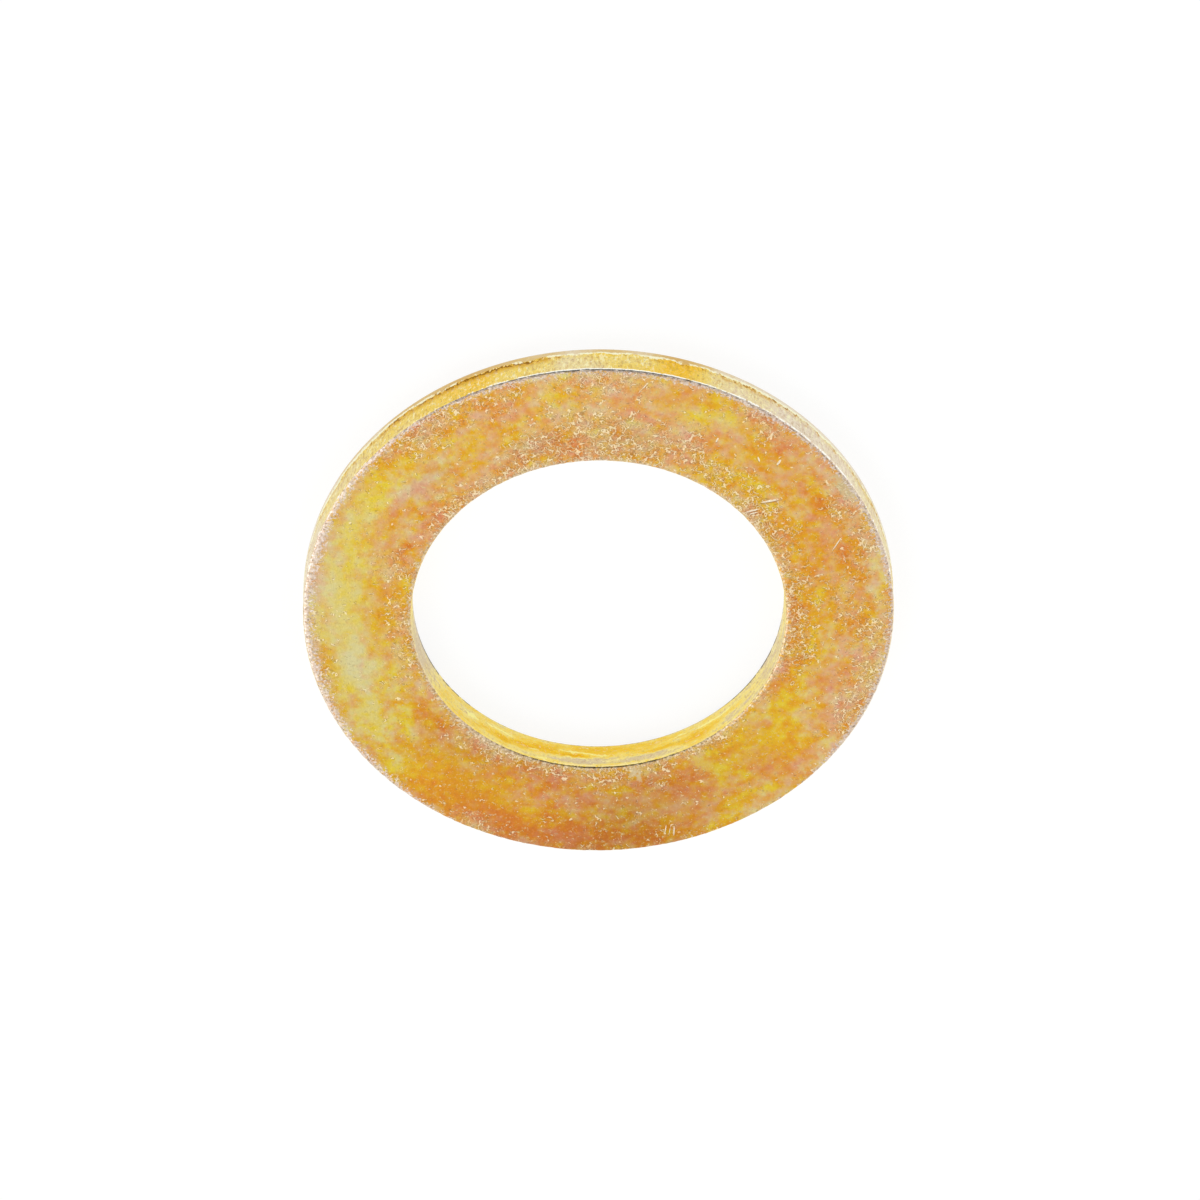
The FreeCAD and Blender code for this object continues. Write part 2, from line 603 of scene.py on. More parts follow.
place = start.node("TexCoord", output=3)
place = start.node("VectorMath", {"operation": "SCALE"}, {0: place, "Scale": 1 / MM})
split = start.node("SeparateXYZ", None, {0: place})
x, y, z = split.other("X"), split.other("Y"), split.other("Z")
radius = start.math("SQRT", x * x + y * y)
turn = start.node("Attribute", {"attribute_name": "turn"}, output=2)
height = start.node("Attribute", {"attribute_name": "above_crease"}, output=2)
rim_side = radius.ramp(MIDDLE - 0.05, MIDDLE + 0.05)
rim_gap = RIM - radius
bore_gap = radius - BORE
faces_down = turn.ramp(-0.5, -0.8)
print("coordinates in mm, for a ring", round(2 * RIM, 1), "mm across")

# %% [markdown]
# Noise is moved to another place for each seed, so that no two patterns lie on top of each
# other. Pushing the coordinates themselves about by noise gives every outline ragged sides.

# %% Noise and ragged coordinates

def shifted(where, step):
    return start.node("VectorMath", {"operation": "ADD"}, {0: where, 1: step})


def stretched(where, factors):
    return start.node("VectorMath", {"operation": "MULTIPLY"}, {0: where, 1: factors})


def seeded(where, seed):
    """Coordinates moved to another part of the noise for each seed."""
    return shifted(where, (seed * 7.3, seed * 3.1, seed * 5.7))


def cloud(scale, detail=2.0, rough=0.5, seed=0, where=None, colour=False):
    """Cloudy noise from 0 to 1, with scale in cells to the millimetre."""
    inputs = {"Vector": seeded(where or place, seed), "Scale": scale}
    inputs.update({"Detail": detail, "Roughness": rough})
    return start.node("TexNoise", None, inputs, output=int(colour))


def ragged(where, scale, reach, seed):
    """Coordinates pushed about by up to half of reach, in mm, so that outlines turn ragged."""
    push = shifted(cloud(scale, 2.0, 0.6, seed, colour=True), (-0.5, -0.5, -0.5))
    settings = {"operation": "MULTIPLY_ADD"}
    return start.node("VectorMath", settings, {0: push, 1: (reach,) * 3, 2: where})


SMALLER_CIRCLE = 6.5
UP_THE_WALL = 4
straight = start.node("CombineXYZ", None, {0: x, 1: y})
swapped = start.node("CombineXYZ", None, {0: y, 1: x})
upper_or_lower = {0: faces_down, 4: straight, 5: swapped}
flat = start.node("Mix", {"data_type": "VECTOR"}, upper_or_lower, output=1)
flat = ragged(ragged(flat, 0.7, 1.8, 11), 3.0, 0.9, 12)
flat = stretched(flat, (1, 1, 0))
round_x = x / radius * SMALLER_CIRCLE
round_y = y / radius * SMALLER_CIRCLE
along = start.node("CombineXYZ", None, {0: round_x, 1: round_y, 2: radius + z * UP_THE_WALL})
print("clouds are drawn out along the ring", round(MIDDLE / SMALLER_CIRCLE, 2), "times")

# %% [markdown]
# ### Where the film is thin and where it is thick
#
# The washers hang against each other in the bath, so the film differs from place to place. Each
# patch below is an oval with soft sides: its middle, its half length and half width in
# millimetres, how far it is turned in degrees, and how much it adds, in hundredths.

# %% Listed patches
def oval(where, middle_x, middle_y, length, width, angle):
    """A soft oval: 1 in its middle, 0 at its outline and outside."""
    inputs = {"Vector": where, "Location": (middle_x, middle_y, 0)}
    inputs["Rotation"] = (0, 0, math.radians(angle))
    inputs["Scale"] = (length, width, 1)
    moved = start.node("Mapping", {"vector_type": "TEXTURE"}, inputs)
    return start.node("TexGradient", {"gradient_type": "SPHERICAL"}, {"Vector": moved}, output=1)


def patches(ovals, total, where=None):
    """Add soft ovals to a value: x, y, half length, half width, turn and hundredths of each."""
    for *outline, strength in ovals:
        soft = oval(where or flat, *outline)
        total = start.math("MULTIPLY_ADD", soft, strength / 100, total)
    return total


LEMON = [
    (-8.7, 6.8, 2.2, 1.4, 45, -36), (-10.2, 5.2, 3.0, 1.5, 70, -34),
    (-11.0, 2.4, 3.0, 1.6, 88, -42), (-10.8, -0.8, 3.2, 1.7, 95, -46),
    (-12.2, 0.4, 2.0, 0.7, 90, -20), (-10.3, -4.2, 3.0, 1.9, 105, -50),
    (-9.0, -2.6, 2.0, 1.1, 95, -25), (-9.4, -5.7, 1.8, 1.4, 140, -38),
    (-9.6, 3.1, 1.2, 1.0, 0, -12), (-9.0, -7.6, 1.8, 1.0, -45, -30),
    (-7.7, -6.1, 1.2, 0.9, 0, -16), (-7.5, 8.0, 2.0, 1.2, 45, -12), (-6.3, 6.7, 1.2, 0.9, 45, -22),
    (-5.8, 9.1, 2.0, 1.2, 20, -14), (-3.2, 10.2, 1.0, 0.7, 0, -4), (-2.0, 9.7, 2.4, 0.8, 0, -12),
    (-1.8, 11.4, 1.5, 0.9, 0, -22), (2.2, 11.2, 1.2, 0.7, 80, 4), (-0.4, 10.8, 1.4, 0.8, 0, -22),
    (-3.2, 11.5, 1.0, 0.8, 80, -16), (2.2, 9.1, 1.1, 0.8, 0, -18), (-2.8, 8.9, 0.9, 0.8, 0, -12),
    (-5.4, 10.0, 1.0, 0.8, 0, -12), (-9.3, 0.6, 1.6, 0.8, 90, -14),
    (-7.7, -3.4, 1.2, 0.7, 70, -14), (-7.4, 4.4, 0.9, 0.7, 60, -12),
    (12.0, 0.4, 1.2, 0.6, 90, -14), (9.4, -6.7, 1.1, 0.9, 60, -20), (6.9, -9.9, 1.2, 0.8, 40, -14),
    (4.3, -11.4, 1.4, 0.8, 20, -20), (1.0, -11.2, 1.2, 0.9, 0, -26), (3.4, 11.6, 0.9, 0.6, 0, -18),
    (10.9, -1.9, 1.1, 0.8, 20, -30), (11.4, 0.0, 1.4, 0.6, 0, -12), (-2.4, -8.3, 0.9, 0.6, 0, -18),
    (-0.7, -9.4, 0.8, 0.6, 0, -16), (0.8, -11.4, 0.9, 0.7, 0, -12),
    (-1.8, -11.1, 1.0, 0.6, 0, -25), (1.5, 11.3, 0.9, 0.5, 0, -14), (7.9, 4.0, 0.8, 0.6, 0, -12),
    (9.3, -3.0, 1.0, 0.6, 0, -10), (-7.0, 4.5, 0.8, 0.5, 0, -14), (-2.0, 10.0, 0.8, 0.5, 0, -10),
    (1.0, -11.6, 1.0, 0.7, 0, -18), (2.6, -11.6, 1.1, 0.7, 0, -20), (5.5, -10.4, 0.9, 0.7, 0, -12),
    (10.0, 0.4, 1.0, 0.7, 0, -12), (-10.2, -3.4, 1.2, 0.7, 30, -14),
    (-9.4, -5.8, 0.8, 0.6, 0, -12), (-7.5, -4.2, 0.9, 0.5, -60, -16),
    (12.1, 1.8, 2.0, 0.7, 90, -38), (-1.5, 12.2, 1.2, 0.5, 0, -12), (-1.4, 10.2, 1.0, 0.6, 0, -10),
    (9.2, 5.6, 0.8, 0.7, 0, -14), (9.4, 2.9, 0.9, 0.8, 0, -12), (11.5, -1.8, 1.0, 0.6, 0, -14),
    (10.1, -4.1, 1.0, 0.7, 0, -14), (8.0, -6.4, 0.9, 0.8, 0, -12), (8.1, -7.9, 0.9, 0.7, 0, -12),
    (-2.0, -8.2, 1.2, 0.5, 0, -14), (-0.5, -9.1, 0.8, 0.8, 0, -12),
    (-6.3, -7.3, 1.2, 0.7, -20, -14), (-8.7, -8.3, 1.2, 0.6, -45, -16),
    (-8.3, -0.3, 1.2, 0.5, 90, -14), (-10.2, 3.6, 1.4, 0.7, 80, -12),
    (-12.1, 0.7, 1.0, 0.5, 90, -14), (-8.6, 8.5, 0.9, 0.7, 0, -14), (-4.7, 8.3, 1.0, 0.7, 0, -10),
    (8.4, 8.7, 0.9, 0.6, 0, -12), (5.6, 9.5, 1.4, 0.8, -10, -20), (-5.2, 8.2, 1.2, 0.9, 0, -12),
    (4.9, 10.4, 2.0, 1.1, -5, -38), (5.9, 7.0, 2.4, 0.9, -35, -28), (7.4, 5.8, 1.4, 0.9, -40, -16),
    (8.5, 4.4, 1.3, 0.8, -60, -14), (7.6, -4.6, 2.0, 1.0, 60, -28), (8.5, -5.2, 1.4, 1.1, 60, -16),
    (9.6, -2.2, 2.0, 0.9, 80, -14), (7.8, -6.0, 1.3, 0.9, 45, -10), (7.4, -6.8, 2.2, 1.2, 20, -22),
    (5.0, -8.0, 2.6, 0.7, -40, -34), (6.0, -10.2, 1.8, 1.0, -50, -32),
    (7.6, -9.5, 1.5, 0.8, -45, -22), (2.3, -11.0, 1.2, 0.9, 0, -14),
]
ORANGE = [
    (-6.7, 5.3, 2.2, 1.2, 50, 38), (-8.1, 3.0, 1.6, 0.9, 80, 26), (-8.6, 5.8, 2.2, 0.9, 45, 12),
    (-9.2, 1.0, 2.0, 0.8, 90, 10), (-7.4, -5.0, 1.4, 0.9, -60, 10), (-7.8, 9.2, 1.8, 0.9, 40, 30),
    (-5.8, 9.9, 1.0, 0.8, 0, 14), (-4.1, 10.9, 2.2, 1.2, 25, 38), (-1.5, 8.6, 2.2, 1.0, 0, 48),
    (3.8, 9.0, 2.0, 1.0, 0, 22), (4.8, 8.1, 1.8, 1.0, -25, 18), (6.4, 10.8, 1.6, 0.8, -30, 18),
    (4.0, 11.5, 1.4, 0.6, 0, 14), (8.1, 9.0, 1.8, 1.0, -45, 34), (9.5, 6.0, 1.8, 1.2, -55, 26),
    (9.3, 3.6, 2.4, 1.2, -70, 20), (10.7, 3.3, 1.8, 0.9, -80, 28), (8.5, -0.4, 2.6, 0.9, 90, 30),
    (11.4, -0.1, 2.0, 0.9, 90, 16), (8.0, -3.2, 1.4, 0.9, 75, 24), (10.3, -3.0, 2.6, 1.1, 75, 16),
    (9.4, -6.6, 1.8, 0.9, 45, 16), (7.3, -8.5, 1.8, 1.0, 40, 38), (3.6, -9.4, 3.2, 1.8, 20, 32),
    (2.9, -11.6, 2.8, 0.9, 10, 34), (1.6, -8.9, 2.2, 0.9, 0, 24), (-1.6, -9.2, 2.2, 1.3, 0, 40),
    (-3.2, -8.2, 2.0, 0.9, -15, 20), (-5.4, -7.4, 1.8, 1.2, -35, 32),
    (-5.8, -9.7, 3.0, 1.3, -32, 28), (-8.0, -9.3, 1.8, 0.9, -45, 32),
    (7.8, 4.4, 2.0, 1.0, -60, 26), (1.9, 10.3, 1.2, 0.6, 10, 26), (-8.6, 5.6, 1.2, 0.7, 70, 12),
    (8.2, 7.6, 0.9, 0.6, 0, 14), (8.0, -3.6, 1.3, 0.5, 70, 12), (4.8, 10.8, 1.1, 0.7, -20, 23),
    (-3.3, 8.0, 1.3, 0.5, 25, 28), (4.1, 8.7, 1.2, 0.6, 0, 18), (7.6, 9.4, 1.1, 0.6, -40, 18),
    (-4.5, 11.4, 1.0, 0.6, 20, 12), (-7.8, 9.4, 1.2, 0.6, 45, 12),
    (-6.4, -10.6, 1.0, 0.6, -30, 33), (-2.6, -11.8, 1.0, 0.5, 0, 16), (8.6, -7.8, 0.8, 0.6, 0, 16),
    (8.4, 0.4, 1.4, 0.6, 90, 14), (-11.0, -5.0, 1.2, 0.6, -60, 14), (-7.0, 9.9, 1.4, 0.6, 35, 16),
    (-6.6, 8.7, 0.8, 0.7, 0, 10), (-1.6, 8.6, 0.8, 0.6, 0, 20), (8.2, 3.0, 1.4, 0.6, 80, 18),
    (6.5, -7.8, 0.9, 0.7, 0, 12), (-3.8, -8.5, 1.0, 0.7, 0, 14), (-7.2, 5.8, 1.0, 0.7, 45, 12),
    (8.2, 7.2, 0.9, 0.7, 0, 16), (10.8, 2.4, 1.2, 0.7, 80, 14), (8.3, 1.7, 0.9, 0.6, 0, 16),
    (8.1, -3.1, 0.9, 0.6, 0, 14), (6.5, -8.3, 0.9, 0.7, 0, 16), (-8.0, -5.9, 0.9, 0.7, 0, 16),
    (-1.6, -9.4, 0.8, 0.8, 0, 14), (-1.0, -12.2, 1.6, 0.5, 0, 16), (2.6, -10.3, 1.2, 0.6, 0, 12),
    (3.6, 7.9, 1.2, 0.5, -25, 16), (-11.7, -3.2, 0.9, 0.6, 0, 16), (-6.4, 5.7, 1.0, 0.6, 45, 14),
    (10.2, 5.9, 0.9, 0.6, 0, 10), (-8.5, -5.0, 1.0, 0.8, 0, 12), (-8.8, -6.8, 1.3, 0.7, -50, 14),
    (-4.8, -8.6, 1.6, 0.7, -20, 14), (3.6, -7.9, 1.2, 0.7, 20, 12), (7.2, -4.3, 1.0, 0.7, 50, 14),
    (9.2, -4.9, 0.9, 0.8, 0, 12), (-3.8, 9.8, 0.9, 0.7, 0, 14), (-1.8, 11.3, 1.0, 0.6, 0, 12),
    (10.3, 5.4, 0.9, 0.8, 0, 14), (-11.3, 4.4, 1.2, 0.6, 70, 14), (-7.9, 7.4, 1.2, 0.7, 45, 12),
    (10.5, -5.5, 1.4, 0.9, 60, 18), (-3.4, -11.2, 3.2, 1.4, -15, 54),
    (0.0, -11.7, 3.4, 1.3, 0, 56),
]
print("thickness:", len(LEMON), "patches of thin film,", len(ORANGE), "of thick film")

# %% [markdown]
# Between the patches lie clouds of four kinds: slow ones, ones that are drawn out along the ring,
# fine ones, and ones with hard sides. CALM lists the places where the clouds are weaker.

# %% Clouds between the patches
CALM = [
    (-10.8, 0.5, 8.0, 2.6, 90, 100), (-6.2, -9.0, 4.2, 2.4, -35, 100),
    (-9.4, 6.6, 3.0, 1.8, 50, 70), (4.6, 10.3, 2.6, 1.5, -10, 80), (7.2, -7.2, 2.8, 1.8, -45, 80),
    (2.6, -10.2, 2.4, 1.4, 0, 70),
]
unrest = 1.15 - patches(CALM, 0.0).held() * 0.60


def clouded(middle, slow_size, drawn_out, fine_part, stepped, seed):
    """A middle value with slow clouds, clouds along the ring, fine ones and stepped ones."""
    uneven = (cloud(1.5, 1.0, 0.65, seed + 2, along) - 0.5) * drawn_out
    uneven = uneven + (cloud(2.8, 1.0, 0.5, seed + 6) - 0.5) * fine_part
    uneven = uneven + (cloud(1.9, 2.0, 0.6, seed + 4).ramp(0.47, 0.53) - 0.5) * stepped
    slow = (cloud(slow_size, 1.0, 0.5, seed) - 0.5) * 0.3
    return middle + slow + uneven * unrest


thickness = clouded(0.455, 0.45, 0.90, 0.64, 0.10, seed=1)
thickness = thickness + patches(ORANGE, patches(LEMON, 0.0)) * 1.1
print("calm places:", len(CALM))

# %% [markdown]
# ### Where the colour is strong and where it is rubbed pale
#
# A second set of patches says how much of the film's colour is left.

# %% Paleness
STRONG = [
    (-8.6, 8.1, 1.6, 1.2, 45, -32), (-9.2, 6.9, 1.4, 0.8, 40, -20), (-9.9, 4.6, 1.2, 0.8, 80, -10),
    (-5.9, 9.4, 1.6, 1.0, 0, -24), (-5.6, 8.4, 1.6, 1.2, 20, -26), (-1.6, 11.1, 1.4, 0.7, 0, -24),
    (4.9, 10.6, 1.6, 1.0, 0, -28), (7.2, 8.4, 1.6, 1.2, -45, -20), (6.0, 6.8, 2.4, 1.0, -38, -34),
    (9.2, 6.1, 1.0, 0.9, 0, -18), (8.5, 4.4, 2.0, 1.0, -60, -34), (9.4, 1.0, 2.4, 1.2, 88, -34),
    (10.8, 2.8, 1.6, 0.9, 80, -20), (11.3, -0.4, 1.8, 0.9, 90, -26),
    (8.7, -1.8, 2.2, 1.1, 85, -34), (8.8, -3.5, 1.0, 0.9, 0, -18), (8.0, -4.8, 2.0, 1.0, 75, -28),
    (6.3, -5.5, 1.2, 0.8, 45, -20), (7.8, -6.6, 2.2, 1.4, 35, -36), (6.0, -7.0, 2.0, 1.2, 10, -28),
    (6.4, -9.3, 1.8, 1.2, -50, -30), (4.5, -7.7, 1.6, 0.7, 25, -22), (4.6, -9.0, 1.6, 1.0, 0, -18),
    (5.4, -10.7, 1.2, 0.9, -40, -24), (3.4, -11.7, 2.8, 1.0, 12, -42),
    (0.6, -11.7, 3.4, 1.2, 0, -40), (-7.7, -8.5, 2.6, 1.8, -45, -62),
    (-5.2, -9.4, 2.4, 1.4, -30, -37), (-3.0, -10.8, 2.4, 1.4, -25, -46),
    (-5.6, -7.6, 1.6, 1.0, -35, -22), (-7.8, -5.2, 2.0, 1.0, -60, -28),
    (-9.0, 0.4, 2.2, 1.2, 90, -36), (-8.4, 2.0, 1.6, 0.8, 80, -24),
    (-9.7, -3.2, 1.2, 0.9, 90, -14), (-11.8, -2.6, 2.4, 0.8, 102, -28),
    (-4.2, -11.0, 1.8, 0.9, -20, -22), (-3.2, -8.4, 2.0, 1.0, -20, -20),
    (-3.6, -8.8, 1.2, 0.8, 0, -16), (9.6, 5.9, 1.6, 0.8, -60, -22), (9.8, 3.7, 1.0, 0.8, 0, -12),
    (8.4, 0.1, 1.0, 0.7, 90, -26), (6.7, -5.1, 1.2, 0.7, 50, -14), (7.5, -7.7, 1.0, 0.8, 0, -10),
    (-8.7, -7.0, 1.6, 0.8, -60, -12), (-6.6, -5.6, 1.0, 0.7, -45, -24),
    (-12.0, 0.9, 1.0, 0.6, 90, -16), (-0.6, 11.5, 1.2, 0.8, 0, -22), (2.0, 8.4, 1.0, 0.6, 0, -24),
    (6.4, 6.4, 1.4, 0.9, -40, -12), (0.2, -9.5, 3.6, 1.5, 0, -12), (-8.0, 8.9, 1.2, 0.7, 48, -37),
    (-5.4, 7.0, 1.0, 0.6, 20, -31), (0.8, 10.3, 1.1, 0.5, 0, -10),
    (-7.6, -8.8, 1.6, 0.9, -40, -12), (4.2, 8.7, 1.0, 0.6, 60, -14),
    (5.8, 7.6, 1.0, 0.6, -30, -16), (7.3, 4.9, 1.0, 0.7, -60, -33), (8.4, 0.2, 0.8, 0.6, 0, -22),
    (8.5, 2.0, 0.9, 0.6, 0, -14), (6.5, -5.3, 0.9, 0.6, 45, -16), (-0.6, -8.2, 2.2, 0.4, 0, -24),
    (-8.3, 0.6, 0.8, 0.5, 90, -18), (-2.5, -10.6, 1.1, 0.7, 0, -23),
    (-4.3, 11.4, 1.1, 0.7, 20, -31), (-8.8, -8.6, 1.2, 0.7, -45, -18),
    (-7.0, -9.2, 1.4, 0.7, -40, -10), (8.3, 2.4, 1.2, 0.6, 80, -18),
    (5.2, 7.7, 1.0, 0.6, -20, -16), (6.2, 6.3, 0.8, 0.5, -45, -12),
    (-5.9, 10.0, 0.9, 0.6, 20, -14), (1.3, -8.3, 1.4, 0.4, 0, -26), (-7.5, -9.0, 0.9, 0.7, 0, -12),
    (-6.2, -10.2, 0.8, 0.6, 0, -14), (11.4, -2.8, 0.8, 0.6, 0, -14), (0.2, 9.2, 1.6, 0.7, 0, -10),
    (5.1, 10.1, 1.5, 0.8, 0, -17), (-0.1, -9.8, 0.8, 0.7, 0, -12), (-2.9, -9.2, 1.4, 1.0, 0, -18),
    (10.4, 2.1, 1.6, 1.0, 60, -10), (9.8, -5.2, 1.0, 0.8, 0, -14), (9.6, -3.0, 1.2, 0.7, 0, -12),
    (-6.2, -7.7, 0.9, 0.7, 0, -18), (-10.2, -6.5, 0.9, 0.6, 0, -18),
    (-9.7, -1.9, 0.9, 0.6, 0, -12), (-8.1, -3.0, 0.8, 0.6, 0, -12), (-8.0, 4.6, 0.9, 0.6, 0, -12),
    (4.4, -9.8, 0.9, 0.8, 0, -12),
]
RUBBED = [
    (-10.4, -2.1, 2.0, 1.0, 100, 50), (-11.9, 2.0, 3.6, 1.1, 85, 46),
    (-7.2, 6.9, 1.8, 1.1, 45, 32), (-8.4, 9.3, 1.4, 0.7, 45, 15), (-4.8, 10.2, 1.6, 0.8, 20, 18),
    (-2.6, 9.4, 1.2, 0.9, 0, 22), (-0.5, 10.3, 3.0, 1.3, 0, 24), (0.4, 10.9, 1.6, 0.8, 0, 10),
    (0.9, 11.6, 2.4, 1.0, 0, 32), (3.2, 9.2, 2.2, 1.2, 0, 30), (-3.0, 8.7, 1.6, 0.8, 0, 12),
    (8.5, 8.8, 1.2, 0.9, -45, 14), (10.6, 6.5, 2.0, 0.8, -60, 30), (9.3, 1.7, 1.0, 0.8, 0, 14),
    (11.7, -3.8, 2.2, 1.0, 80, 12), (10.3, -4.4, 2.0, 1.0, 70, 30), (10.8, -2.2, 1.4, 0.8, 90, 18),
    (8.9, -5.6, 1.1, 0.8, 0, 14), (4.0, -9.9, 1.1, 0.8, 0, 20), (1.0, -9.9, 1.6, 0.9, 0, 8),
    (-2.4, -8.9, 1.9, 1.1, -10, 20), (-5.9, -6.1, 1.6, 0.8, -45, 16),
    (-11.8, -5.2, 1.6, 0.7, 115, 10), (-3.2, -11.8, 1.6, 0.7, -12, 20),
    (-4.6, 7.8, 1.2, 0.8, 30, 20), (3.4, 8.3, 1.0, 0.7, -20, 18), (2.4, 10.4, 0.7, 0.9, 0, 22),
    (6.9, 9.9, 1.2, 0.7, -35, 14), (8.8, 7.4, 1.0, 0.8, 0, 10), (-8.7, 2.1, 1.4, 0.9, 80, 16),
    (-8.7, -0.8, 1.0, 0.7, 90, 20), (-11.5, -1.1, 1.4, 0.8, 90, 14), (-7.0, 7.9, 0.9, 0.7, 0, 12),
    (8.1, -2.8, 1.2, 0.6, 70, 16), (12.1, 1.7, 1.8, 0.7, 88, 48), (3.0, -11.5, 1.2, 0.6, 0, 16),
    (-8.3, 2.8, 1.0, 0.6, 80, 12), (-8.6, 6.2, 1.6, 0.7, 45, 12), (4.8, 9.6, 1.0, 0.6, 0, 10),
    (1.2, 12.1, 3.0, 0.5, -5, 12), (7.8, -3.4, 0.9, 0.5, 70, 26), (-9.0, -0.6, 0.8, 0.6, 0, 14),
    (10.3, -2.3, 1.0, 0.7, 20, 35), (-11.7, -2.6, 1.4, 0.6, 100, 12),
    (-9.2, 3.0, 1.6, 0.9, 80, 10), (1.3, -11.6, 1.0, 0.6, 0, 16), (4.3, -11.3, 1.3, 0.6, 20, 34),
    (-2.0, 12.1, 1.2, 0.5, 0, 34), (10.9, 4.9, 1.2, 0.8, -66, 32), (5.0, 9.1, 0.9, 0.6, 0, 26),
    (9.8, -0.5, 0.9, 0.7, 0, 25), (-0.9, -9.2, 0.8, 0.6, 0, 16), (-6.1, -6.7, 0.9, 0.6, -40, 18),
    (8.8, -8.0, 0.9, 0.6, 0, 14), (-6.0, 6.2, 0.9, 0.5, 45, 16), (-10.7, 6.2, 1.2, 0.7, 63, 29),
    (-9.7, -5.0, 0.8, 0.6, 0, 10), (2.4, -11.5, 1.4, 0.5, 0, 12), (7.7, -3.3, 1.0, 0.5, 70, 24),
    (9.0, 7.1, 0.9, 0.8, 0, 22), (11.6, -1.5, 1.2, 0.7, 90, 14), (-1.7, 10.6, 0.8, 1.0, 0, 10),
    (-8.9, 3.8, 1.0, 0.6, 80, 14), (-9.0, 1.1, 1.0, 0.6, 90, 10), (-9.6, -3.6, 1.6, 0.6, 0, 16),
    (-11.8, -3.2, 0.8, 0.6, 0, 14), (4.6, -7.6, 1.2, 0.6, 60, 14), (7.5, 6.1, 0.8, 0.6, 0, 14),
    (6.6, 8.9, 0.6, 0.9, 0, 10),
]
paleness = clouded(0.372, 0.6, 1.45, 0.98, 0.16, seed=2)
paleness = paleness + patches(RUBBED, patches(STRONG, 0.0)) * 1.35
print("paleness:", len(STRONG), "patches of strong colour,", len(RUBBED), "rubbed pale")

# %% [markdown]
# A third set says where the face is darker. The face also darkens evenly towards minus X and
# minus Y, and that even part is a painted shade: light falling off away from plus X and plus Y.

# %% Darker places
DEEP = [
    (1.4, -10.7, 4.6, 2.4, 0, 20), (-0.8, -12.4, 6.5, 1.8, -2, 18), (2.4, -8.6, 2.6, 1.2, 0, 10),
    (5.0, -8.6, 3.0, 2.0, 30, 5), (-3.0, -7.8, 4.0, 1.6, -20, 9), (-6.3, -6.5, 3.0, 1.6, -45, 6),
    (-7.0, 7.2, 1.6, 1.0, 45, 7), (1.4, 9.2, 2.4, 1.2, 0, 10), (-2.2, 8.9, 2.0, 1.1, 20, 9),
    (9.6, -5.6, 3.6, 2.2, 60, -5), (5.2, 10.9, 3.6, 1.6, -28, -9), (-7.7, -8.6, 2.0, 1.4, -45, -6),
    (-1.2, -11.7, 2.6, 1.1, 0, -9), (11.8, 2.4, 1.8, 0.9, 90, -5), (6.2, 6.8, 1.6, 1.0, -40, -5),
    (-0.8, 10.7, 1.6, 0.8, 0, 4), (-3.0, 8.6, 1.4, 0.9, 0, 4), (1.3, 9.2, 1.4, 0.8, 0, 3),
]
# painted shade: the terms in x and y darken the film as light falling off away from plus X and
# plus Y would
darkening_and_painted_shade = patches(DEEP, 0.034) - x * 0.0042 - y * 0.0035
print("darker places:", len(DEEP))

# %% [markdown]
# ### The film's colours
#
# Two ramps hold the colours from thin film to thick film, one where it is whole and one where
# it is rubbed. Every later step lays another colour over this one through a mask, so one helper
# takes a list of such coats: the mask, how much of the colour it lays down, and the colour.

# %% Two ramps of film colour
def ramped(stops, value):
    return start.node("ValToRGB", {"stops": stops}, {0: value})


def coated(base, *coats):
    """Lay colours over a base, one after another: mask, cover and colour of each."""
    for mask, cover, colour in coats:
        base = (mask * cover).mix(base, colour)
    return base


STRONG_FILM = [
    (0.00, srgb(226, 199, 62)),
    (0.25, srgb(224, 181, 48)),
    (0.50, srgb(222, 163, 42)),
    (0.75, srgb(220, 146, 44)),
    (1.00, srgb(215, 128, 52)),
]
PALE_FILM = [
    (0.00, srgb(217, 208, 154)),
    (0.25, srgb(219, 191, 146)),
    (0.50, srgb(219, 174, 136)),
    (0.75, srgb(218, 158, 124)),
    (1.00, srgb(214, 142, 108)),
]
film = paleness.held().mix(ramped(STRONG_FILM, thickness), ramped(PALE_FILM, thickness))
# the darker places and the painted shade darken the film here
film = darkening_and_painted_shade.mix(film, BLACK)
print("film:", len(STRONG_FILM), "and", len(PALE_FILM), "colours")

# %% [markdown]
# ### Flecks
#
# Up close the face is full of short curly flecks, where the tumbling barrel and the other
# washers have lifted the film. They crowd together near the rim and the bore. A line where
# noise crosses its middle value is curly, and a second noise breaks it into short bits. A
# fleck's outline is a little darker than the film. Pale sparks, dark pits and a fine grain fill
# the space between the flecks.

# %% Curly flecks
def curls(scale, width, seed, keep):
    """Short curly lines and their outlines, kept where a second noise is above keep."""
    line = (cloud(scale, 1.0, 0.5, seed) - 0.5).size()
    kept = (cloud(scale * 0.9, 1.0, 0.5, seed + 1) - keep).ramp(0.0, 0.04)
    core = line.ramp(width, width * 0.4) * kept
    outline = line.ramp(width * 2.6, width * 1.4) * kept - core
    return core, outline.held()


def dots(scale, size, seed, share):
    """Small round dots, one in each cell of a Voronoi pattern, in this share of the cells."""
    near_dot = start.node("TexVoronoi", None, {"Vector": seeded(place, seed), "Scale": scale})
    lot = start.node("SeparateColor", None, {0: near_dot.other("Color")})
    return near_dot.ramp(size, size * 0.4) * (share - lot).ramp(-0.02, 0.02)


